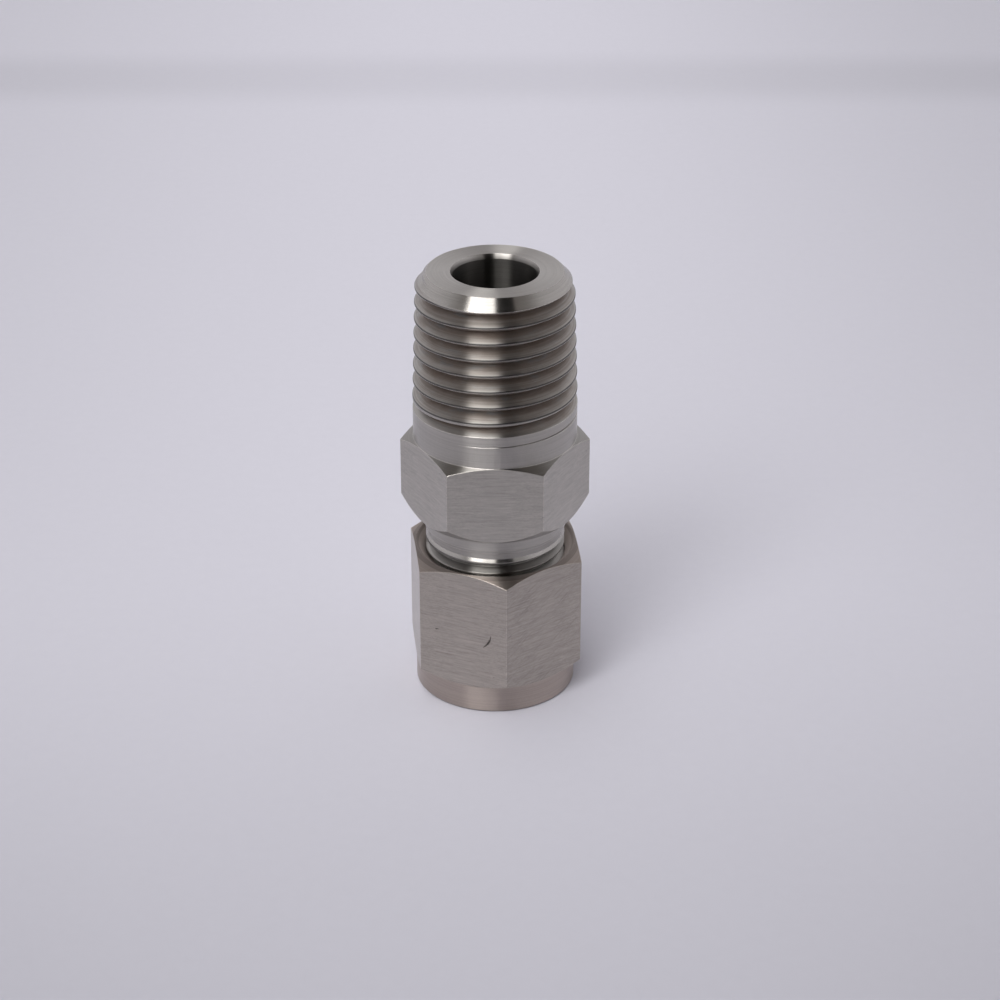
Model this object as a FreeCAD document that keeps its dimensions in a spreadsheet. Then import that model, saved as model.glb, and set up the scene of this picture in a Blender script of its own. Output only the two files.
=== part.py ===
import FreeCAD, Part
import Sketcher
import os
import re

# Stainless steel male connector for 6 mm tube and a 1/4 taper pipe thread, in millimetres.
# It stands on the round end of its nut: +Z runs up the axis and the origin is the middle of that end.

DOC = FreeCAD.newDocument("male_connector")

# Driving sizes, in millimetres and degrees: name, value and what it measures
SIZES = (
    ("flat_half_angle", 30.0, "half the angle that one hexagon side takes"),
    ("hex_sides", 6, "sides of each hexagon"),
    ("full_turn", 360.0, "degrees in one turn"),
    ("hex_edge_angle", 30.0, "slope of the turned chamfers on the hexagons"),
    ("blank_margin", 0.5, "how far a turned blank stands out past the hexagon's corners"),
    ("cutter_reach", 2.0, "how far a flat's cutter reaches past the blank"),
    # Connector body
    ("body_hex_flats", 14.0, "across flats of the body hexagon"),
    ("body_hex_top", 23.65, "height where the body hexagon meets the neck"),
    ("pipe_end_length", 14.85, "from there to the end of the pipe thread"),
    ("collar_foot", 15.45, "height where the collar under the body hexagon starts"),
    ("collar_height", 1.22, "height of that collar"),
    ("collar_diameter", 12.3, "diameter of that collar"),
    ("underside_inset", 0.1, "how far the hexagon's flat underside ends inside its flats"),
    ("hex_foot_angle", 45.0, "slope of the chamfer from that underside out to the corners"),
    ("body_face", 7.0, "height of the tube end's face"),
    ("body_lead", 0.75, "chamfer at the tube end of the body"),
    ("tube_bore", 6.16, "socket that takes the tube"),
    ("tube_stop", 15.3, "insertion depth, from the nut end to the stop"),
    ("mouth_angle", 12.0, "half angle of the cone that the front ferrule seats in"),
    ("flow_bore", 4.8, "through bore past the tube stop"),
    ("pipe_bore", 7.1, "bore of the pipe thread end"),
    ("pipe_bore_depth", 14.0, "depth of that bore's full width and drill point"),
    ("drill_half_angle", 59.0, "half of a drill point's angle"),
    ("pipe_bore_lead", 0.18, "width of the lead-in at the pipe end's bore"),
    ("pipe_bore_lead_depth", 0.4, "depth of that lead-in"),
    # Taper pipe thread
    ("pipe_major", 13.254, "thread diameter on the small end's plane"),
    ("pipe_taper", 16.0, "length in which the diameter grows by one"),
    ("pipe_pitch", 1.4111, "pitch, 18 turns to the inch"),
    ("pipe_depth", 1.1, "depth of the thread's V groove"),
    ("pipe_end_chamfer", 0.95, "chamfer at the end of the pipe thread"),
    ("pipe_thread_length", 11.1, "from the last full groove, at the +X side, to the end"),
    ("pipe_fade_turns", 1.4, "turns in which the last groove fades out"),
    ("thread_half_angle", 30.0, "half of the angle between thread flanks"),
    ("overcut", 0.06, "how far a thread cutter stands out of the metal"),
    # Nut thread, metric fine, which is left plain at its outer diameter
    ("nut_thread_major", 12.0, "outer diameter of the nut thread"),
    ("thread_gap", 0.06, "clearance between that thread and the nut"),
    # Nut
    ("nut_hex_flats", 14.0, "across flats of the nut"),
    ("nut_turn", 6.8, "how far the nut is turned against the body"),
    ("nut_length", 13.4, "length of the nut"),
    ("nut_rim_outer", 13.84, "outer diameter of the nut's rim"),
    ("nut_rim_land", 0.06, "flat width of that rim"),
    ("nut_mouth_angle", 45.0, "slope of the nut's countersunk mouth"),
    ("skirt_diameter", 13.9, "round end of the nut"),
    ("skirt_height", 2.45, "height of that round end"),
    ("skirt_chamfer", 0.15, "chamfer of its edge"),
    ("nut_tube_hole", 6.2, "tube hole in the nut's end"),
    ("nut_tube_hole_lead", 0.25, "chamfer of that hole"),
    ("nut_wall", 3.0, "length of the tube hole"),
    ("shoulder_angle", 45.0, "slope of the shoulder that pushes the ferrules"),
    # Ferrules
    ("ferrule_bore", 6.12, "bore of both ferrules"),
    ("seat_gap", 0.03, "clearance where ferrules, nut and body seat"),
    ("back_outer", 8.6, "outer diameter of the back ferrule"),
    ("back_rim", 0.48, "width of its rim"),
    ("back_nose_outer", 7.7, "diameter at the foot of its nose"),
    ("back_nose_tip", 6.6, "diameter at the tip of its nose"),
    ("back_nose_length", 1.0, "length of its nose"),
    ("front_outer", 8.8, "outer diameter of the front ferrule"),
    ("front_rim", 0.95, "width of its rim"),
    ("front_cone_base", 8.2, "diameter at the base of its cone"),
    ("front_cone_tip", 6.42, "diameter at the tip of its cone"),
)


def fill_sheet():
    """Write the driving sizes to the document's sheet, each with its alias."""
    sheet = DOC.addObject("Spreadsheet::Sheet", "Sizes")
    for row, (name, size, meaning) in enumerate(SIZES, start=1):
        sheet.set(f"A{row}", meaning)
        sheet.set(f"B{row}", str(size))
        sheet.setAlias(f"B{row}", name)
    DOC.recompute()


ALIASES = {name for name, size, meaning in SIZES}


def bound(formula):
    """A formula in the sheet's names, as an expression of the document."""
    return re.sub(r"[a-z_]+", lambda word: "Sizes." + word[0] if word[0] in ALIASES else word[0], formula)


def number(holder, formula):
    """What a formula gives with the sheet's present sizes."""
    value = holder.evalExpression(bound(formula))
    return float(getattr(value, "Value", value))


def plane(body, role):
    """One of the body's own origin planes."""
    return next(feature for feature in body.Origin.OriginFeatures if feature.Role == role)


def sketch_of(body, name, role, corners):
    """A closed sketch of straight edges on an origin plane. Each corner is a pair of formulas."""
    sketch = body.newObject("Sketcher::SketchObject", name)
    sketch.AttachmentSupport = (plane(body, role), [""])
    sketch.MapMode = "FlatFace"
    points = [FreeCAD.Vector(number(sketch, across), number(sketch, up), 0) for across, up in corners]
    for start, end in zip(points, points[1:] + points[:1]):
        sketch.addGeometry(Part.LineSegment(start, end), False)
    for line, (across, up) in enumerate(corners):
        following = (line + 1) % len(corners)
        sketch.addConstraint(Sketcher.Constraint("Coincident", line, 2, following, 1))
        pin(sketch, line, "DistanceX", points[line].x, across)
        pin(sketch, line, "DistanceY", points[line].y, up)
    return sketch


def pin(sketch, line, kind, value, formula):
    """Hold the start of a line at a distance from the origin that follows the sheet."""
    if formula == "0":
        axis = -2 if kind == "DistanceX" else -1
        sketch.addConstraint(Sketcher.Constraint("PointOnObject", line, 1, axis))
        return
    held = sketch.addConstraint(Sketcher.Constraint(kind, -1, 1, line, 1, value))
    sketch.setExpression(f"Constraints[{held}]", bound(formula))


def turned(body, name, corners):
    """Turn a half section, given as radius and height, about the body's axis."""
    section = sketch_of(body, name + "_section", "XZ_Plane", corners)
    turning = body.newObject("PartDesign::Revolution", name)
    turning.Profile = section
    turning.ReferenceAxis = (section, ["V_Axis"])
    turning.setExpression("Angle", bound("full_turn"))
    DOC.recompute()
    return turning


def hexagon(body, name, flats, turn, top):
    """Mill the flats of a hexagon from the nut end up to a height, the first one turned from +X."""
    inner = f"{flats} / 2"
    outer = f"{blank(flats)} + cutter_reach"
    corners = ((inner, f"-({outer})"), (outer, f"-({outer})"), (outer, outer), (inner, outer))
    cutter = sketch_of(body, name + "_cutter", "XY_Plane", corners)
    up = FreeCAD.Vector(0, 0, 1)
    cutter.AttachmentOffset = FreeCAD.Placement(FreeCAD.Vector(), FreeCAD.Rotation(up, number(cutter, turn)))
    cutter.setExpression("AttachmentOffset.Rotation.Angle", bound(turn))
    flat = body.newObject("PartDesign::Pocket", name + "_flat")
    flat.Profile = cutter
    flat.setExpression("Length", bound(top))
    flat.Reversed = True
    DOC.recompute()
    pattern = body.newObject("PartDesign::PolarPattern", name + "_flats")
    pattern.Originals = [flat]
    pattern.Axis = (cutter, ["N_Axis"])
    pattern.setExpression("Angle", bound("full_turn"))
    pattern.setExpression("Occurrences", bound("hex_sides"))
    body.Tip = pattern
    DOC.recompute()


def groove(body, name, section, pitch, length, widening, downward=False):
    """Cut a screw groove along the axis from the section, on a cone that widens by an angle."""
    before = body.Shape.Volume
    cut = body.newObject("PartDesign::SubtractiveHelix", name)
    cut.Profile = section
    cut.ReferenceAxis = (section, ["V_Axis"])
    cut.Mode = "pitch-height-angle"
    cut.setExpression("Pitch", bound(pitch))
    cut.setExpression("Height", bound(length))
    cut.setExpression("Angle", bound(widening))
    cut.Reversed = downward
    body.Tip = cut
    DOC.recompute()
    print(name, "cuts", round(before - body.Shape.Volume, 2), "mm3")
    if body.Shape.Volume >= before:
        raise RuntimeError(name + " cuts nothing")


def groove_section(body, name, open_side, floor, height):
    """V section of a screw groove, from the radius of its open side to that of its floor."""
    half = f"({open_side} - ({floor})) * tan(thread_half_angle)"
    corners = (
        (floor, height),
        (open_side, f"{height} - {half}"),
        (open_side, f"{height} + {half}"),
    )
    return sketch_of(body, name, "XZ_Plane", corners)


def blank(flats):
    """Radius of the turned blank that a hexagon is milled from."""
    return f"({flats} / 2 / cos(flat_half_angle) + blank_margin)"


def on_shoulder(radius):
    """Height of the back ferrule's cone at a radius, just clear of the nut's shoulder."""
    rise = f"({radius} - nut_tube_hole / 2) * tan(shoulder_angle)"
    return f"(nut_wall + {rise} + seat_gap / cos(shoulder_angle))"


def pipe_radius(distance):
    """Radius of the taper pipe thread's crests at a distance from its end."""
    return f"(pipe_major / 2 + {distance} / (2 * pipe_taper))"


# Heights and radii that several pieces share
PIPE_END = "(body_hex_top + pipe_end_length)"
PIPE_THREAD_FOOT = f"({PIPE_END} - pipe_thread_length)"
PIPE_BORE_FLOOR = f"({PIPE_END} - pipe_bore_depth)"
NECK_RADIUS = pipe_radius("pipe_thread_length")
BACK_RIM_TOP = on_shoulder("back_outer / 2") + " + back_rim"
FRONT_REAR = BACK_RIM_TOP + " + seat_gap"
FRONT_CONE_FOOT = FRONT_REAR + " + front_rim"
MOUTH_RADIUS = (
    f"(front_cone_base / 2 + seat_gap / cos(mouth_angle) - (body_face - ({FRONT_CONE_FOOT})) * tan(mouth_angle))"
)


def make_body():
    """The connector body: tube end with its thread, hexagon, neck and taper pipe thread in one piece."""
    body = DOC.addObject("PartDesign::Body", "connector_body")
    hex_blank = blank("body_hex_flats")
    underside = "(body_hex_flats / 2 - underside_inset)"
    chamfer_radius = pipe_radius("pipe_end_chamfer")
    turned(body, "body_blank", (
        (MOUTH_RADIUS, "body_face"),
        ("nut_thread_major / 2 - body_lead", "body_face"),
        ("nut_thread_major / 2", "body_face + body_lead"),
        ("nut_thread_major / 2", "collar_foot"),
        ("collar_diameter / 2", "collar_foot"),
        ("collar_diameter / 2", "collar_foot + collar_height"),
        (underside, "collar_foot + collar_height"),
        (hex_blank, f"collar_foot + collar_height + ({hex_blank} - {underside}) * tan(hex_foot_angle)"),
        (hex_blank, f"body_hex_top - ({hex_blank} - {NECK_RADIUS}) * tan(hex_edge_angle)"),
        (NECK_RADIUS, "body_hex_top"),
        (NECK_RADIUS, PIPE_THREAD_FOOT),
        (chamfer_radius, f"{PIPE_END} - pipe_end_chamfer"),
        (f"{chamfer_radius} - pipe_end_chamfer", PIPE_END),
        ("pipe_bore / 2 + pipe_bore_lead", PIPE_END),
        ("pipe_bore / 2", f"{PIPE_END} - pipe_bore_lead_depth"),
        ("pipe_bore / 2", f"{PIPE_BORE_FLOOR} + (pipe_bore - flow_bore) / 2 / tan(drill_half_angle)"),
        ("flow_bore / 2", PIPE_BORE_FLOOR),
        ("flow_bore / 2", "tube_stop"),
        ("tube_bore / 2", "tube_stop"),
        ("tube_bore / 2", f"body_face + ({MOUTH_RADIUS} - tube_bore / 2) / tan(mouth_angle)"),
    ))
    hexagon(body, "body_hex", "body_hex_flats", "flat_half_angle", "body_hex_top")

    open_side = f"{NECK_RADIUS} + overcut"
    floor = f"{NECK_RADIUS} - pipe_depth"
    section = groove_section(body, "pipe_groove", open_side, floor, PIPE_THREAD_FOOT)
    rise = "pipe_thread_length + pipe_pitch"
    groove(body, "pipe_thread", section, "pipe_pitch", rise, "-atan(1 / (2 * pipe_taper))")
    fade = "pipe_fade_turns * pipe_pitch"
    groove(body, "pipe_thread_fade", section, "pipe_pitch", fade, f"atan((pipe_depth + overcut) / ({fade}))", True)
    return body


def make_nut():
    """The nut: hexagon, round end, tube hole, ferrule shoulder and thread in one piece."""
    body = DOC.addObject("PartDesign::Body", "nut")
    hex_blank = blank("nut_hex_flats")
    bore = "(nut_thread_major / 2 + thread_gap)"
    rim_inner = "(nut_rim_outer / 2 - nut_rim_land)"
    turned(body, "nut_blank", (
        ("nut_tube_hole / 2 + nut_tube_hole_lead", "0"),
        ("skirt_diameter / 2 - skirt_chamfer", "0"),
        ("skirt_diameter / 2", "skirt_chamfer"),
        ("skirt_diameter / 2", "skirt_height"),
        (hex_blank, f"skirt_height + ({hex_blank} - skirt_diameter / 2) * tan(hex_edge_angle)"),
        (hex_blank, f"nut_length - ({hex_blank} - nut_rim_outer / 2) * tan(hex_edge_angle)"),
        ("nut_rim_outer / 2", "nut_length"),
        (rim_inner, "nut_length"),
        (bore, f"nut_length - ({rim_inner} - {bore}) * tan(nut_mouth_angle)"),
        (bore, f"nut_wall + ({bore} - nut_tube_hole / 2) * tan(shoulder_angle)"),
        ("nut_tube_hole / 2", "nut_wall"),
        ("nut_tube_hole / 2", "nut_tube_hole_lead"),
    ))
    hexagon(body, "nut_hex", "nut_hex_flats", "0", "nut_length")

    body.setExpression("Placement.Rotation.Angle", bound("nut_turn"))
    DOC.recompute()
    return body


def make_back_ferrule():
    """The back ferrule: a ring whose cone sits on the nut's shoulder and whose nose enters the front one."""
    body = DOC.addObject("PartDesign::Body", "back_ferrule")
    turned(body, "back_ring", (
        ("ferrule_bore / 2", on_shoulder("ferrule_bore / 2")),
        ("back_outer / 2", on_shoulder("back_outer / 2")),
        ("back_outer / 2", BACK_RIM_TOP),
        ("back_nose_outer / 2", BACK_RIM_TOP),
        ("back_nose_tip / 2", BACK_RIM_TOP + " + back_nose_length"),
        ("ferrule_bore / 2", BACK_RIM_TOP + " + back_nose_length"),
    ))
    return body


def make_front_ferrule():
    """The front ferrule: a ring whose cone seats in the body's mouth."""
    body = DOC.addObject("PartDesign::Body", "front_ferrule")
    turned(body, "front_ring", (
        ("back_nose_outer / 2 + seat_gap", FRONT_REAR),
        ("front_outer / 2", FRONT_REAR),
        ("front_outer / 2", FRONT_CONE_FOOT),
        ("front_cone_base / 2", FRONT_CONE_FOOT),
        ("front_cone_tip / 2", f"{FRONT_CONE_FOOT} + (front_cone_base - front_cone_tip) / 2 / tan(mouth_angle)"),
        ("ferrule_bore / 2", f"{FRONT_CONE_FOOT} + (front_cone_base - front_cone_tip) / 2 / tan(mouth_angle)"),
        ("ferrule_bore / 2", FRONT_REAR + " + back_nose_length"),
        ("back_nose_tip / 2 + seat_gap", FRONT_REAR + " + back_nose_length"),
    ))
    return body


def check(bodies):
    """Stop when an object failed or a piece isn't one valid solid."""
    for item in DOC.Objects:
        if {"Invalid", "Error"} & set(item.State):
            raise RuntimeError(f"{item.Name} failed: {item.State}")
    for body in bodies:
        shape = body.Shape
        if shape.isNull() or not shape.isValid() or len(shape.Solids) != 1:
            raise RuntimeError(f"{body.Label} is not one valid solid")
        print(body.Label, round(shape.Volume, 2), "mm3,", len(shape.Faces), "faces")


fill_sheet()
pieces = [make_body(), make_nut(), make_back_ferrule(), make_front_ferrule()]
check(pieces)
os.makedirs("parts", exist_ok=True)
for piece in pieces:
    piece.Shape.exportStep(f"parts/{piece.Label}.step")
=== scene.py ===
"""Dresses the male connector tube fitting: its metals, fine marks, light, floor and camera."""

import itertools
import math

import bmesh
import bpy
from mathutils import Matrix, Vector


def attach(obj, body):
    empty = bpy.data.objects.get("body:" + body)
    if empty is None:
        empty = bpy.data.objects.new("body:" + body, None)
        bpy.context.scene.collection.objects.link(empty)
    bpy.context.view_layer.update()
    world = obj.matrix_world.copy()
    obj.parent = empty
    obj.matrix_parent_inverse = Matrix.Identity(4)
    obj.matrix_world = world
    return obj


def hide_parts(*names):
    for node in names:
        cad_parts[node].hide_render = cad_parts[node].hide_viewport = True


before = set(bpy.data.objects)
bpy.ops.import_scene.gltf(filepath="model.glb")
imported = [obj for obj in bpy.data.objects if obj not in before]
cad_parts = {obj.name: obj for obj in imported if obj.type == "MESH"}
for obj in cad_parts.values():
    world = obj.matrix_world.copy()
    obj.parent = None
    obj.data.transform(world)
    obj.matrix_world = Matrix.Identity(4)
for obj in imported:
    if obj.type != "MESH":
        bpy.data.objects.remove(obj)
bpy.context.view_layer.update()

MM = 0.001

# Camera
CAMERA_ELEVATION = math.radians(26.97)
CAMERA_DISTANCE = 228.3 * MM
CAMERA_LENS = 95.87
CAMERA_CLIP = 10 * MM
SENSOR = 36.0
AIM_HEIGHT = 19.88 * MM
AIM_RIGHT = 0.42 * MM
AIM_DOWN = 2.413 * MM

# Colours, as linear light
BODY_MILLED = (0.455, 0.43, 0.395, 1)
BODY_TURNED = (0.46, 0.437, 0.41, 1)
NUT_MILLED = (0.46, 0.418, 0.376, 1)
NUT_TURNED = (0.465, 0.40, 0.36, 1)
FERRULE_STEEL = (0.62, 0.60, 0.57, 1)
OXIDE = (0.185, 0.138, 0.11, 1)
BLUED = (0.15, 0.148, 0.15, 1)
FLOOR = (0.695, 0.685, 0.758, 1)
FLOOR_GRAIN = (0.65, 0.64, 0.71, 1)

# Floor: its side and the places where it darkens, in metres from the part, and by how much
FLOOR_SIDE = 6
FLOOR_GRAIN_SCALE = 900.0
FLOOR_DIP = (0.162, 0.166, 0.012)
FLOOR_DIP_SHADE = 0.08
# Darkening to the sides and the front is painted shade, where the light falls off
FLOOR_SHADES = (("x", 0.0, 0.09, 0.21), ("x", -0.005, -0.1, 0.16), ("y", 0.02, -0.07, 0.24))

# Light
PANEL = (2.8, 2.8, 2.78, 1)
ROOM = (0.46, 0.455, 0.46, 1)
SIDE = (0.80, 0.79, 0.83, 1)
BACK = (0.71, 0.70, 0.73, 1)
ZENITH = (0.122, 0.102, 0.09, 1)
FLAG = (0.015, 0.015, 0.015, 1)
KEY = {"place": (-1.0, -1.4, 1.7), "target": (0, 0, 0.01), "size": (0.9, 0.9), "power": 10.0}

# Where each part of the room lies, by direction. Strips have two edges and a softness, the rest
# start and are full at their two numbers
PANEL_STRIP = (-0.36, -0.01, 0.02)
PANEL_RISE = (0.25, 0.45)
FLAG_STRIP = (0.03, 0.26, 0.02)
FLAG_RISE = (-0.02, 0.05)
FRONT_HALF = (0.4, 0.25)
BACK_WALL = (0.35, 0.6)
SIDE_WALLS = (0.6, 0.9)
CEILING = (0.78, 0.87)

# Nut thread, M12 x 1, which the CAD model leaves plain
THREAD_PITCH = 1.0 * MM
THREAD_DEPTH = 0.61 * MM
THREAD_HALF_ANGLE = math.radians(30)
THREAD_LAND = 0.125
THREAD_COLUMNS = 96
THREAD_START = 7.3875 * MM
THREAD_RADIUS = 6.0 * MM
NUT_BORE_RADIUS = 6.06 * MM
RELIEF = ((5.84, 14.53), (5.84, 15.06), (5.96, 15.12), (5.96, 15.36), (6.0, 15.45))
WALL_SLACK = 0.004 * MM
WELD = 0.0005 * MM

# Pipe thread, in mm. On its end chamfer radius and height add up to PIPE_CHAMFER. PIPE_PHASE shifts the
# start of each turn off its crest, and FIRST_GROOVE is how many pitches up the first groove starts
PIPE_TOP = 38.5
PIPE_CREST = 6.627
PIPE_TAPER = 32.0
PIPE_PITCH = 1.4111
PIPE_PHASE = 0.35
PIPE_CHAMFER = 44.2067
FIRST_GROOVE = 25.96
GROOVE_REACH = 1.3
RUN_IN = (math.radians(90), math.radians(230))

# Where each part of that thread starts and is full: a height, a radius, their sum or a depth under
# the crests, in mm. The painted shadow line on the crest land is a band of a turn's pitch, and its
# softness
THREADED_FROM = (26.6, 26.8)
THREADED_TO = (37.75, 37.6)
THREADED_OUT = (5.0, 5.3)
CHAMFER_FROM = (44.1367, 44.1867)
CREST_DEPTH = (0.08, 0.04)
VALLEY_DEPTH = (0.03, 0.2)
ROOT_DEPTH = (0.2, 0.85)
CREST_SHADOW_BAND = (0.2385, 0.3188, 0.012)

# Other places on the part, in mm: bands have two edges and a softness
FLAT_RADIUS = 6.99
FLAT_SOFT = 0.02
FACING_SOFT = 0.03
THREAD_END_CONE = (14.25, 14.53, 0.03)
HEX_TOP = (21.0, 23.6, 0.05)
# Round the nut's rim the steel takes painted shade, where nut and body meet
NUT_RIM = (13.2, 14.22, 0.02)
NUT_CHAMFER = (10.8, 11.0)
BORE_RADIUS = (3.75, 3.6)
BORE_FLOOR = (23.0, 24.0)
BORE_MOUTH = 0.5

# The nut's marks: places on a flat are mm from its middle and mm of height
NICKED_FLAT = math.radians(-113.2)
SCRATCHED_FLAT = math.radians(-53.2)
SLANT = math.radians(32)
NICK = {"start": (2.60, 7.95), "end": (1.87, 6.66), "width": 0.13, "bow": 0.16}
DENT = {"start": (-2.62, 7.50), "end": (-2.30, 7.53), "width": 0.06, "bow": 0.0}
NICK_SHADE = 0.92
NICK_DEPTH = 0.05
NICK_TEAR = 0.24
NICK_END = 0.02
SCRATCH_FINENESS = 6.0
SCRATCH_DRAWN = 0.35
SCRATCH_SPARSE = {"slanting": 0.54, "level": 0.57}
SCRATCH_SOFT = 0.09
SCRATCH_SHADE = 0.13
SCRATCH_DEPTH = 0.003
# Painted shade over the whole scratched flat, which faces away from the light
SCRATCHED_FLAT_SHADE = 0.06

# Noises that are alike in every direction: scale, detail and roughness
BLOTCHES = (0.45, 4.0, 0.6)
SPECKS = (9.0, 3.0, 0.6)
NICK_EDGE = (7.0, 3.0, 0.7)

# Noises that are drawn out: how fast each runs along its three axes, per mm or radian
ROUND_RINGS = (0.3, 9.0, 9.0)
THREAD_RINGS = (0.3, 16.0, 0.9)
MILLED_LINES = (0.4, 0.4, 6.5)
STAIN_PATCHES = (2.2, 2.4, 0.8)
BROAD_BANDS = (0.6, 3.0, 3.0)
RING_SPREAD = (0.36, 0.64)
BLUE_PATCH = (0.46, 0.32)

# Normals: how much of one may point up, and how far the rounded one leaves the true one at an edge
UPRIGHT = (0.3, 0.1)
TILTED = (0.95, 0.85)
EDGE_TURN = (0.985, 0.8)
EDGE_WEAR = 0.09 * MM
CREST_WEAR = 0.055 * MM
# Painted shade in crevices: how far ambient occlusion looks, and where the shade starts and is full
CREVICE = 0.45 * MM
CREVICE_OPEN = (0.8, 0.25)
EDGE_SAMPLES = 4
LEVEL_FACE = 0.02
UPRIGHT_FACE = 0.01
CONE_SLACK = 0.003 * MM

# How strongly each thing changes the steel's tone
TONE = 0.87
BLOTCH_TONE = 0.12
LINE_TONE = 0.75
RING_TONE = 0.12
VALLEY_RING_TONE = 0.3
SPECK_TONE = 0.16
EDGE_WEAR_AND_HIGHLIGHT_TONE = 0.85
LAND_SHADE = 0.75
CREVICE_PAINTED_SHADE = 0.4
SHOULDER_SHADE = 0.3
BORE_SHADE = 0.6

# Oxide: the patches' factor and offset in the valleys, and the root's own share
STAIN_VALLEY = (0.9, -0.12)
STAIN_ROOT = 0.42

# Gloss, and the height of tool marks
ROUGH = 0.26
BROAD_ROUGH = 0.05
STAIN_ROUGH = 0.13
DULL_ROUGH = 0.24
FINE_GLOSS = 0.04
STAIN_UNMETAL = 0.25
FLAT_ISOTROPY = 0.5
RING_HEIGHT = 0.006 * MM
FINE_RING_HEIGHT = 0.001 * MM
LINE_HEIGHT = 0.010 * MM


class Graph:
    """Adds shader nodes to a tree and wires them."""

    def __init__(self, tree):
        self.tree = tree
        tree.nodes.clear()

    def node(self, kind, values=None, **options):
        """A node with its options set, and its inputs wired from sockets or set to constants."""
        made = self.tree.nodes.new(kind)
        for name, value in options.items():
            setattr(made, name, value)
        for key, value in (values or {}).items():
            self.feed(made.inputs[key], value)
        return made

    def feed(self, socket, value):
        if isinstance(value, bpy.types.NodeSocket):
            self.tree.links.new(value, socket)
        else:
            socket.default_value = value

    def math(self, operation, *values):
        return self.node("ShaderNodeMath", dict(enumerate(values)), operation=operation).outputs[0]

    def chain(self, operation, values):
        result = values[0]
        for value in values[1:]:
            result = self.math(operation, result, value)
        return result

    def product(self, *factors):
        return self.chain("MULTIPLY", factors)

    def sum(self, *terms):
        return self.chain("ADD", terms)

    def centred(self, noise):
        return self.math("SUBTRACT", noise, 0.5)

    def without(self, mask, share=1.0):
        """1 outside a mask, and less than that by the share inside it."""
        return self.math("SUBTRACT", 1.0, self.product(mask, share))

    def ramp(self, value, low, high):
        """0 at low and 1 at high, smooth between them and flat outside."""
        inputs = {"Value": value, "From Min": low, "From Max": high}
        return self.node("ShaderNodeMapRange", inputs, interpolation_type="SMOOTHSTEP").outputs["Result"]

    def band(self, value, low, high, soft):
        """1 from low to high, falling to 0 within soft on either side."""
        return self.product(self.ramp(value, low - soft, low), self.ramp(value, high + soft, high))

    def vector(self, x, y, z):
        return self.node("ShaderNodeCombineXYZ", {"X": x, "Y": y, "Z": z}).outputs[0]

    def split(self, vector):
        return tuple(self.node("ShaderNodeSeparateXYZ", {0: vector}).outputs)

    def scaled(self, vector, scale):
        inputs = {0: vector, "Scale": scale}
        return self.node("ShaderNodeVectorMath", inputs, operation="SCALE").outputs[0]

    def noise(self, vector, scale, detail=2.0, roughness=0.5):
        inputs = {"Vector": vector, "Scale": scale, "Detail": detail, "Roughness": roughness}
        return self.node("ShaderNodeTexNoise", inputs).outputs["Fac"]

    def drawn_noise(self, values, speeds, detail, roughness=0.5):
        """Noise that runs at its own speed along each of three values."""
        drawn = self.vector(*map(self.product, values, speeds))
        return self.noise(drawn, 1.0, detail, roughness)

    def mix(self, factor, first, second):
        """Two colours mixed by a factor."""
        node = self.node("ShaderNodeMix", {"Factor": factor}, data_type="RGBA")
        colours = [socket for socket in node.inputs if socket.type == "RGBA"]
        self.feed(colours[0], first)
        self.feed(colours[1], second)
        return next(socket for socket in node.outputs if socket.type == "RGBA")


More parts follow.
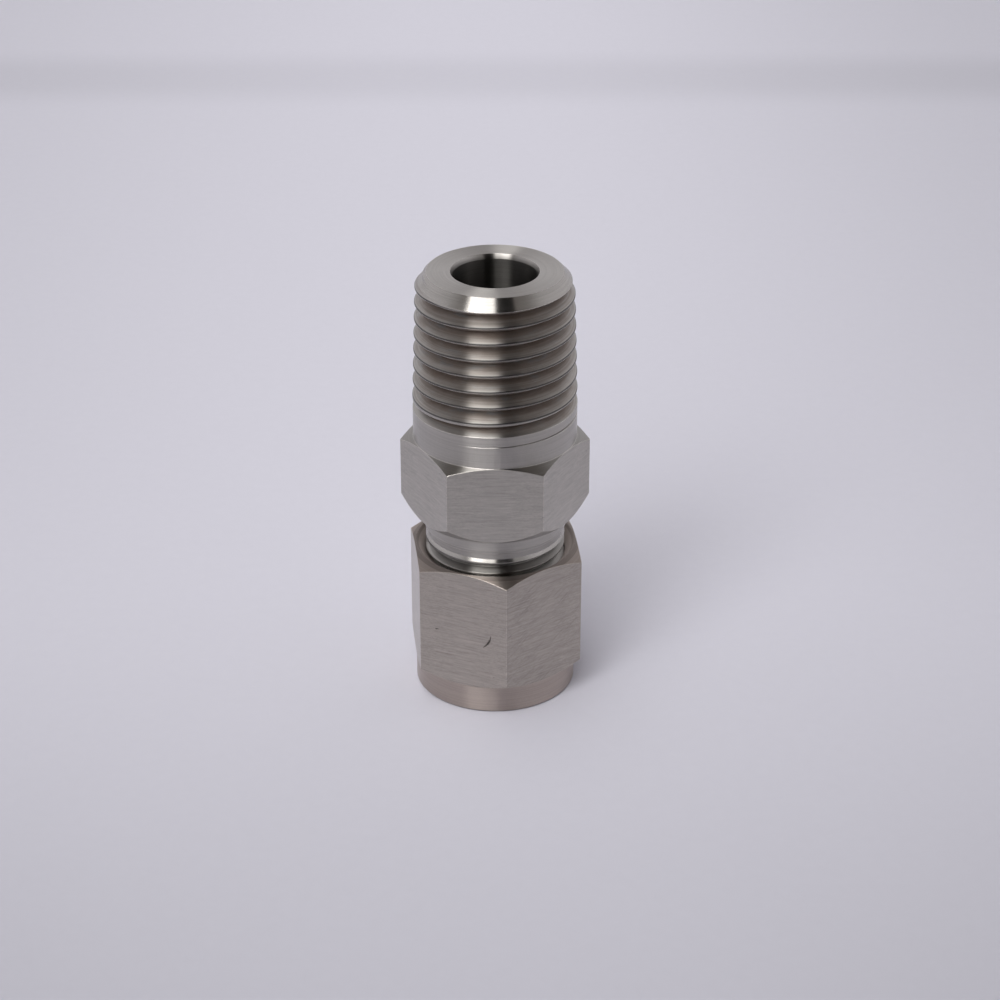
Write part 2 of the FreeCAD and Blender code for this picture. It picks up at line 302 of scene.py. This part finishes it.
class Place:
    """Where a shading point is on the part, in mm, with the masks that finishes and marks follow."""

    def __init__(self, graph):
        self.graph = graph
        source = graph.node("ShaderNodeTexCoord")
        self.point = graph.scaled(source.outputs["Object"], 1 / MM)
        self.x, self.y, self.z = graph.split(self.point)
        squares = graph.sum(graph.product(self.x, self.x), graph.product(self.y, self.y))
        self.radius = graph.math("SQRT", squares)
        self.angle = graph.math("ARCTAN2", self.y, self.x)
        tilt = graph.math("ABSOLUTE", graph.split(source.outputs["Normal"])[2])
        self.tilted = graph.ramp(tilt, *TILTED)
        outside = graph.ramp(self.radius, FLAT_RADIUS - FLAT_SOFT, FLAT_RADIUS)
        self.flat = graph.product(graph.ramp(tilt, *UPRIGHT), outside)

    def along(self, azimuth):
        """Distance along a hexagon's flat that faces an azimuth, from its middle."""
        graph = self.graph
        return graph.math(
            "SUBTRACT",
            graph.product(self.y, math.cos(azimuth)),
            graph.product(self.x, math.sin(azimuth)))

    def facing(self, azimuth):
        """1 on the flat that faces an azimuth."""
        graph = self.graph
        out = graph.sum(
            graph.product(self.x, math.cos(azimuth)),
            graph.product(self.y, math.sin(azimuth)))
        return graph.product(self.flat, graph.ramp(out, FLAT_RADIUS - FACING_SOFT, FLAT_RADIUS))

    def streaks(self, across, along, sparse):
        """Scratches that run along one direction: 0 almost everywhere, 1 in a scratch."""
        graph = self.graph
        drawn = graph.vector(
            graph.product(along, SCRATCH_DRAWN), graph.product(across, SCRATCH_FINENESS), 0.0)
        return graph.ramp(graph.noise(drawn, 1.0, 3.0, 0.6), sparse, sparse + SCRATCH_SOFT)

    def dash(self, azimuth, start, end, width, bow):
        """A short bowed nick on a flat, from one place on it to another: 1 in the nick."""
        graph = self.graph
        length = math.dist(start, end)
        lead = ((end[0] - start[0]) / length, (end[1] - start[1]) / length)
        across_flat = graph.math("SUBTRACT", self.along(azimuth), start[0])
        up_flat = graph.math("SUBTRACT", self.z, start[1])
        run = graph.sum(graph.product(across_flat, lead[0]), graph.product(up_flat, lead[1]))
        off = graph.math(
            "SUBTRACT", graph.product(up_flat, lead[0]), graph.product(across_flat, lead[1]))
        share = graph.math("DIVIDE", run, length)
        # An arch over the nick's length, 1 at its middle and 0 at its ends
        arch = graph.product(share, graph.without(share), 4.0)
        torn = graph.product(graph.centred(graph.noise(self.point, *NICK_EDGE)), NICK_TEAR)
        off = graph.math("SUBTRACT", graph.sum(off, torn), graph.product(arch, bow))
        half_width = graph.math("MULTIPLY_ADD", arch, width, NICK_END)
        inside = graph.ramp(graph.math("ABSOLUTE", off), half_width, 0.0)
        ends = graph.band(share, NICK_END, 1 - NICK_END, NICK_END)
        return graph.product(inside, ends, self.facing(azimuth))


class PipeThread:
    """Where a shading point is in the taper pipe thread: a mask of each of its parts."""

    def __init__(self, graph, place):
        self.chamfer = graph.ramp(graph.sum(place.radius, place.z), *CHAMFER_FROM)
        self.whole = graph.product(
            graph.ramp(place.z, *THREADED_FROM),
            graph.ramp(place.z, *THREADED_TO),
            graph.ramp(place.radius, *THREADED_OUT),
            graph.without(self.chamfer))
        narrowed = graph.math("DIVIDE", graph.math("SUBTRACT", PIPE_TOP, place.z), PIPE_TAPER)
        depth = graph.math("SUBTRACT", graph.sum(narrowed, PIPE_CREST), place.radius)
        turns = graph.math(
            "SUBTRACT",
            graph.product(place.z, 1 / PIPE_PITCH),
            graph.product(place.angle, 1 / math.tau))
        self.pitched = graph.math("FRACT", graph.sum(turns, PIPE_PHASE))
        self.valley = graph.product(self.whole, graph.ramp(depth, *VALLEY_DEPTH))
        self.root = graph.product(self.whole, graph.ramp(depth, *ROOT_DEPTH))
        # A painted shadow line along each crest of the pipe thread
        self.land = graph.product(
            graph.band(self.pitched, *CREST_SHADOW_BAND), self.whole, graph.ramp(depth, *CREST_DEPTH))


def new_material(name):
    """An empty node material and its graph."""
    material = bpy.data.materials.new(name)
    material.use_nodes = True
    return material, Graph(material.node_tree)


def tool_marks(graph, place, pipe):
    """Turning rings, which run round the axis or with the pipe thread, and the flats' milled lines."""
    around = graph.drawn_noise((place.angle, place.radius, place.z), ROUND_RINGS, 4.0, 0.75)
    threaded = graph.drawn_noise((place.angle, pipe.pitched, place.z), THREAD_RINGS, 4.0, 0.75)
    difference = graph.math("SUBTRACT", threaded, around)
    rings = graph.math("MULTIPLY_ADD", difference, pipe.valley, around)
    lines = graph.drawn_noise((place.x, place.y, place.z), MILLED_LINES, 6.0, 0.75)
    return rings, lines


def stain(graph, place, pipe):
    """How far oxide covers the pipe thread's valleys, and its colour: brown, and blue in patches."""
    patch = graph.drawn_noise((place.angle, pipe.pitched, place.z), STAIN_PATCHES, 4.0, 0.6)
    in_valley = graph.product(pipe.valley, graph.math("MULTIPLY_ADD", patch, *STAIN_VALLEY))
    stained = graph.math("MULTIPLY_ADD", pipe.root, STAIN_ROOT, in_valley)
    return stained, graph.mix(graph.ramp(patch, *BLUE_PATCH), OXIDE, BLUED)


def wear(graph, pipe):
    """The normal with edges rounded; the edges, where it leaves the true one, lightened partly as wear and
    partly as a painted highlight; and painted shade in crevices.
    """
    radius = graph.math("MULTIPLY_ADD", pipe.whole, CREST_WEAR - EDGE_WEAR, EDGE_WEAR)
    rounded = graph.node("ShaderNodeBevel", {"Radius": radius}, samples=EDGE_SAMPLES).outputs[0]
    true = graph.node("ShaderNodeNewGeometry").outputs["Normal"]
    apart = graph.node("ShaderNodeVectorMath", {0: rounded, 1: true}, operation="DOT_PRODUCT")
    # Edges, where the rounded normal leaves the true one, are lightened partly as wear and partly as a
    # painted highlight
    worn_edge_and_highlight = graph.ramp(apart.outputs["Value"], *EDGE_TURN)
    # Painted shade: crevices that ambient occlusion finds are darkened, except in the pipe thread
    air = graph.node("ShaderNodeAmbientOcclusion", {"Distance": CREVICE}, samples=EDGE_SAMPLES)
    crevice = graph.ramp(air.outputs["AO"], *CREVICE_OPEN)
    return rounded, worn_edge_and_highlight, graph.product(crevice, graph.without(pipe.whole))


def steel(name, milled, turned, marks=None):
    """Machined steel: turned where the part is turned, milled across its flats, stained in its thread.

    marks adds a piece's own marks, as a darkening, a depth in mm and a dulling."""
    material, graph = new_material(name)
    place = Place(graph)
    pipe = PipeThread(graph, place)
    rings, lines = tool_marks(graph, place, pipe)
    stained, oxide = stain(graph, place, pipe)
    rounded, worn_edge_and_highlight, painted_crevice_shade = wear(graph, pipe)
    dark, dip, dull = marks(graph, place) if marks else (0.0, 0.0, 0.0)

    # The pipe end's chamfer and the cone over the nut thread are turned finer than the rest.
    # The body hexagon's turned top is darker, and so is the bore; round the nut's rim the steel has
    # painted shade
    fine = graph.math(
        "MAXIMUM",
        graph.product(pipe.chamfer, place.tilted),
        graph.band(place.z, *THREAD_END_CONE))
    shoulder = graph.math(
        "MAXIMUM", graph.band(place.z, *HEX_TOP), graph.band(place.z, *NUT_RIM))
    shoulder = graph.product(shoulder, graph.without(place.flat))
    bore = graph.product(
        graph.ramp(place.radius, *BORE_RADIUS),
        graph.ramp(place.z, *BORE_FLOOR),
        graph.ramp(place.z, PIPE_TOP, PIPE_TOP - BORE_MOUTH))

    blotch = graph.noise(place.point, *BLOTCHES)
    speck = graph.noise(place.point, *SPECKS)
    lathe = graph.centred(graph.ramp(rings, *RING_SPREAD))
    lathe_tone = graph.math("MULTIPLY_ADD", pipe.valley, VALLEY_RING_TONE, RING_TONE)
    tone = graph.sum(
        TONE,
        graph.product(blotch, BLOTCH_TONE),
        graph.product(graph.centred(lines), place.flat, LINE_TONE),
        graph.product(lathe, lathe_tone),
        graph.product(graph.centred(speck), SPECK_TONE),
        graph.product(worn_edge_and_highlight, EDGE_WEAR_AND_HIGHLIGHT_TONE))
    tone = graph.product(
        tone,
        graph.without(dark),
        graph.without(pipe.land, LAND_SHADE),
        graph.without(painted_crevice_shade, CREVICE_PAINTED_SHADE),
        graph.without(shoulder, SHOULDER_SHADE),
        graph.without(bore, BORE_SHADE))
    clean = graph.scaled(graph.mix(place.flat, turned, milled), tone)

    broad = graph.drawn_noise((place.angle, place.radius, place.z), BROAD_BANDS, 3.0)
    rough = graph.sum(
        ROUGH,
        graph.product(broad, BROAD_ROUGH),
        graph.product(stained, STAIN_ROUGH),
        graph.product(dull, DULL_ROUGH),
        graph.product(fine, -FINE_GLOSS))

    ring_height = graph.math("MULTIPLY_ADD", fine, FINE_RING_HEIGHT - RING_HEIGHT, RING_HEIGHT)
    height = graph.sum(
        graph.product(rings, ring_height),
        graph.product(lines, place.flat, LINE_HEIGHT),
        graph.product(dip, -MM))
    bump = graph.node("ShaderNodeBump", {
        "Height": height, "Strength": 1.0, "Distance": 1.0, "Normal": rounded})
    tangent = graph.node("ShaderNodeTangent", direction_type="RADIAL", axis="Z")
    surface = graph.node("ShaderNodeBsdfPrincipled", {
        "Base Color": graph.mix(stained, clean, oxide),
        "Metallic": graph.without(stained, STAIN_UNMETAL),
        "Roughness": rough,
        "Anisotropic": graph.without(place.flat, FLAT_ISOTROPY),
        "Anisotropic Rotation": 0.25,
        "Tangent": tangent.outputs[0],
        "Normal": bump.outputs[0],
    })
    graph.node("ShaderNodeOutputMaterial", {"Surface": surface.outputs[0]})
    return material


def nut_marks(graph, place):
    """The nut's nick and dent on one flat, and slanting scratches, most of them on the next flat, which is
    also darkened all over with painted shade.
    """
    nick = place.dash(NICKED_FLAT, **NICK)
    dent = place.dash(NICKED_FLAT, **DENT)
    level = place.along(SCRATCHED_FLAT)
    across = graph.math(
        "SUBTRACT",
        graph.product(place.z, math.cos(SLANT)),
        graph.product(level, math.sin(SLANT)))
    run = graph.sum(
        graph.product(place.z, math.sin(SLANT)),
        graph.product(level, math.cos(SLANT)))
    slanting = graph.product(
        place.streaks(across, run, SCRATCH_SPARSE["slanting"]), place.facing(SCRATCHED_FLAT))
    handled = graph.product(
        place.streaks(place.z, place.along(NICKED_FLAT), SCRATCH_SPARSE["level"]), place.flat)
    scratches = graph.math("MAXIMUM", slanting, handled)
    hurt = graph.math("MAXIMUM", nick, dent)
    # Painted shade over the whole scratched flat
    shade = graph.product(place.facing(SCRATCHED_FLAT), SCRATCHED_FLAT_SHADE)
    dark = graph.math(
        "MAXIMUM",
        graph.product(hurt, NICK_SHADE),
        graph.math("MULTIPLY_ADD", scratches, SCRATCH_SHADE, shade))
    dip = graph.sum(graph.product(hurt, NICK_DEPTH), graph.product(scratches, SCRATCH_DEPTH))
    dull = graph.product(graph.ramp(place.z, *NUT_CHAMFER), graph.without(place.flat))
    return dark, dip, dull


def share_of(value, start, end):
    """How far a value is from start to end, from 0 to 1."""
    return min(1.0, max(0.0, (value - start) / (end - start)))


def round_point(radius, turned, height):
    return radius * math.cos(turned), radius * math.sin(turned), height


def helix_wall(mesh, wall, low, high, root, fades, rings=(), inward=False):
    """Cut the M12 x 1 thread in the mesh's plain wall, between two heights at that radius.

    fades are the heights at which the thread has died out and is full, at its low and its high end.
    rings are the radii and heights of the plain turned relief above it."""
    top = rings[-1][1] if rings else high

    def on_wall(vertex):
        off = math.hypot(vertex.co.x, vertex.co.y) - wall
        return abs(off) < WALL_SLACK and low - WALL_SLACK < vertex.co.z < top + WALL_SLACK

    made = bmesh.new()
    made.from_mesh(mesh)
    plain = [face for face in made.faces if all(map(on_wall, face.verts))]
    bmesh.ops.delete(made, geom=plain, context="FACES")

    slope = abs(wall - root) * math.tan(THREAD_HALF_ANGLE)
    land = THREAD_PITCH * THREAD_LAND
    steps = ((0.0, 0), (land, 0), (land + slope, 1), (THREAD_PITCH - slope, 1))
    first = math.floor((low - THREAD_START) / THREAD_PITCH) - 1
    last = math.ceil((high - THREAD_START) / THREAD_PITCH) + 1
    shares = [column / THREAD_COLUMNS for column in range(THREAD_COLUMNS + 1)]
    rows = []
    for turn, (rise, deep) in itertools.product(range(first, last), steps):
        row = []
        for share in shares:
            height = THREAD_START + (turn + share) * THREAD_PITCH + rise
            height = min(max(height, low), high)
            fade = share_of(height, *fades[:2]) * share_of(height, *fades[2:])
            radius = wall + (root - wall) * deep * fade
            row.append(made.verts.new(round_point(radius, share * math.tau, height)))
        rows.append(row)
    for radius, height in rings:
        rows.append([made.verts.new(round_point(radius, share * math.tau, height)) for share in shares])
    for lower, upper in zip(rows, rows[1:]):
        for column in range(THREAD_COLUMNS):
            corners = (lower[column], lower[column + 1], upper[column + 1], upper[column])
            made.faces.new(corners[::-1] if inward else corners)
    bmesh.ops.remove_doubles(made, verts=made.verts, dist=WELD)
    bmesh.ops.dissolve_degenerate(made, edges=made.edges, dist=WELD)
    made.to_mesh(mesh)
    made.free()


def close_run_in(mesh):
    """Fade the pipe thread's first groove out where it leaves by the end chamfer."""
    for vertex in mesh.vertices:
        radius = math.hypot(vertex.co.x, vertex.co.y) / MM
        height = vertex.co.z / MM
        turned = math.atan2(vertex.co.y, vertex.co.x) % math.tau
        foot = PIPE_PITCH * (FIRST_GROOVE + turned / math.tau)
        full = min(PIPE_CHAMFER - height, PIPE_CREST + (PIPE_TOP - height) / PIPE_TAPER)
        if height > foot and PIPE_CREST - GROOVE_REACH < radius < full:
            share = share_of(turned, *RUN_IN)
            grown = 1 + (full / radius - 1) * share * share * (3 - 2 * share)
            vertex.co.x *= grown
            vertex.co.y *= grown


def true_normals(mesh):
    """Give faces on a cone, a cylinder or a thread that form's normals, and leave plane faces plane."""
    normals = [None] * len(mesh.loops)
    for face in mesh.polygons:
        normal = face.normal
        middle = face.center
        outward = normal.x * middle.x + normal.y * middle.y > 0
        level = math.hypot(normal.x, normal.y)
        upright = abs(normal.z) < UPRIGHT_FACE and normal.dot(middle) > FLAT_RADIUS * MM
        if level < LEVEL_FACE or upright:
            for loop in face.loop_indices:
                normals[loop] = normal.copy()
            continue
        # In the half plane through the axis, a turned face is one straight line
        points = [mesh.vertices[index].co for index in face.vertices]
        profile = [Vector((math.hypot(point.x, point.y), point.z)) for point in points]
        pairs = itertools.product(profile, profile)
        start, end = max(pairs, key=lambda pair: (pair[1] - pair[0]).length)
        across = Vector((end.y - start.y, start.x - end.x)).normalized()
        lean = Vector((level if outward else -level, normal.z))
        if across.dot(lean) < 0:
            across = -across
        if all(abs((point - start).dot(across)) < CONE_SLACK for point in profile):
            lean = across
            swing = 0.0
        else:
            swing = math.atan2(normal.y, normal.x) - math.atan2(middle.y, middle.x)
            swing += 0.0 if outward else math.pi
        for loop, point in zip(face.loop_indices, points):
            turned = math.atan2(point.y, point.x) + swing
            normals[loop] = Vector(round_point(lean.x, turned, lean.y))
    mesh.normals_split_custom_set(normals)


def threaded_copy(node, thread):
    """A copy of a CAD node that has the nut thread, and stands for the node."""
    name = node + "_threaded"
    mesh = bpy.data.meshes.new(name)
    whole = bmesh.new()
    whole.from_mesh(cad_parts[node].data)
    bmesh.ops.remove_doubles(whole, verts=whole.verts, dist=WELD)
    whole.to_mesh(mesh)
    whole.free()
    helix_wall(mesh, **thread)
    close_run_in(mesh)
    imported_normals = mesh.attributes.get("custom_normal")
    if imported_normals:
        mesh.attributes.remove(imported_normals)
    mesh.shade_smooth()
    true_normals(mesh)
    piece = bpy.data.objects.new(name, mesh)
    bpy.context.scene.collection.objects.link(piece)
    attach(piece, node)
    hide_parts(node)
    return piece


def dress(node, material, thread=None):
    """Give a CAD node, or the threaded copy that stands for it, its material."""
    piece = threaded_copy(node, thread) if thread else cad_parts[node]
    piece.data.materials.clear()
    piece.data.materials.append(material)
    return piece


def make_floor():
    """A pale plain floor, darkened a little with painted shade to the sides and to the front, and darker
    far behind the part.
    """
    material, graph = new_material("floor")
    place = graph.node("ShaderNodeTexCoord").outputs["Object"]
    along = dict(zip("xyz", graph.split(place)))
    level = graph.without(graph.band(along["y"], *FLOOR_DIP), FLOOR_DIP_SHADE)
    # Painted shade where the light falls off to the sides and the front
    for axis, start, end, shade in FLOOR_SHADES:
        shaded = graph.product(graph.ramp(along[axis], start, end), shade)
        level = graph.math("SUBTRACT", level, shaded)
    grain = graph.noise(place, FLOOR_GRAIN_SCALE, 3.0)
    tone = graph.scaled(graph.mix(graph.product(grain, 0.5), FLOOR, FLOOR_GRAIN), level)
    surface = graph.node("ShaderNodeBsdfPrincipled", {
        "Base Color": tone, "Roughness": 0.9, "Specular IOR Level": 0.1})
    graph.node("ShaderNodeOutputMaterial", {"Surface": surface.outputs[0]})
    bpy.ops.mesh.primitive_plane_add(size=FLOOR_SIDE)
    floor = bpy.context.object
    floor.name = "floor"
    floor.data.materials.append(material)


def light_room():
    """A soft panel above and in front, a little to the left, a dark flag to its right, and a grey room."""
    world = bpy.data.worlds.new("studio")
    world.use_nodes = True
    bpy.context.scene.world = world
    graph = Graph(world.node_tree)
    across, along, up = graph.split(graph.node("ShaderNodeTexCoord").outputs["Generated"])
    in_front = graph.ramp(along, *FRONT_HALF)
    # Seen in a turned surface, a strip between two values of side stands upright
    side = graph.math("DIVIDE", across, graph.math("SUBTRACT", math.cos(CAMERA_ELEVATION), along))
    panel = graph.product(
        graph.band(side, *PANEL_STRIP), graph.ramp(up, *PANEL_RISE), in_front)
    flag = graph.product(
        graph.band(side, *FLAG_STRIP), graph.ramp(up, *FLAG_RISE), in_front)
    colour = graph.mix(graph.ramp(along, *BACK_WALL), ROOM, BACK)
    colour = graph.mix(graph.ramp(graph.math("ABSOLUTE", across), *SIDE_WALLS), colour, SIDE)
    colour = graph.mix(graph.ramp(up, *CEILING), colour, ZENITH)
    colour = graph.mix(flag, colour, FLAG)
    colour = graph.mix(panel, colour, PANEL)
    background = graph.node("ShaderNodeBackground", {"Color": colour, "Strength": 1.0})
    graph.node("ShaderNodeOutputWorld", {"Surface": background.outputs[0]})


def add_lamp(name, place, target, size, power):
    data = bpy.data.lights.new(name, "AREA")
    data.shape = "RECTANGLE"
    data.size, data.size_y = size
    data.energy = power
    lamp = bpy.data.objects.new(name, data)
    lamp.location = place
    lamp.rotation_euler = (Vector(target) - Vector(place)).to_track_quat("-Z", "Y").to_euler()
    bpy.context.scene.collection.objects.link(lamp)


def aim_camera():
    """Place the camera as the photograph was taken."""
    forward = Vector((0, math.cos(CAMERA_ELEVATION), -math.sin(CAMERA_ELEVATION)))
    right = Vector((1, 0, 0))
    upward = right.cross(forward)
    axis_point = Vector((0, 0, AIM_HEIGHT))
    place = axis_point - forward * CAMERA_DISTANCE
    target = axis_point + right * AIM_RIGHT - upward * AIM_DOWN
    data = bpy.data.cameras.new("camera")
    data.lens = CAMERA_LENS
    data.sensor_width = SENSOR
    data.clip_start = CAMERA_CLIP
    camera = bpy.data.objects.new("camera", data)
    camera.location = place
    camera.rotation_euler = (target - place).to_track_quat("-Z", "Y").to_euler()
    bpy.context.scene.collection.objects.link(camera)
    bpy.context.scene.camera = camera


body_steel = steel("body_steel", BODY_MILLED, BODY_TURNED)
nut_steel = steel("nut_steel", NUT_MILLED, NUT_TURNED, nut_marks)
ferrule_steel = steel("ferrule_steel", FERRULE_STEEL, FERRULE_STEEL)
body_thread = {
    "wall": THREAD_RADIUS,
    "root": THREAD_RADIUS - THREAD_DEPTH,
    "low": 7.75 * MM,
    "high": 14.25 * MM,
    "fades": (7.75 * MM, 8.0 * MM, 14.25 * MM, 13.95 * MM),
    "rings": [(radius * MM, height * MM) for radius, height in RELIEF],
}
nut_thread = {
    "wall": NUT_BORE_RADIUS,
    "root": NUT_BORE_RADIUS - THREAD_DEPTH,
    "low": 5.96 * MM,
    "high": 12.6 * MM,
    "fades": (5.96 * MM, 6.6 * MM, 12.6 * MM, 12.3 * MM),
    "inward": True,
}
dress("connector_body", body_steel, body_thread)
dress("nut", nut_steel, nut_thread)
dress("back_ferrule", ferrule_steel)
dress("front_ferrule", ferrule_steel)
make_floor()
light_room()
add_lamp("key", **KEY)
aim_camera()

scene = bpy.context.scene
scene.view_settings.view_transform = "Standard"
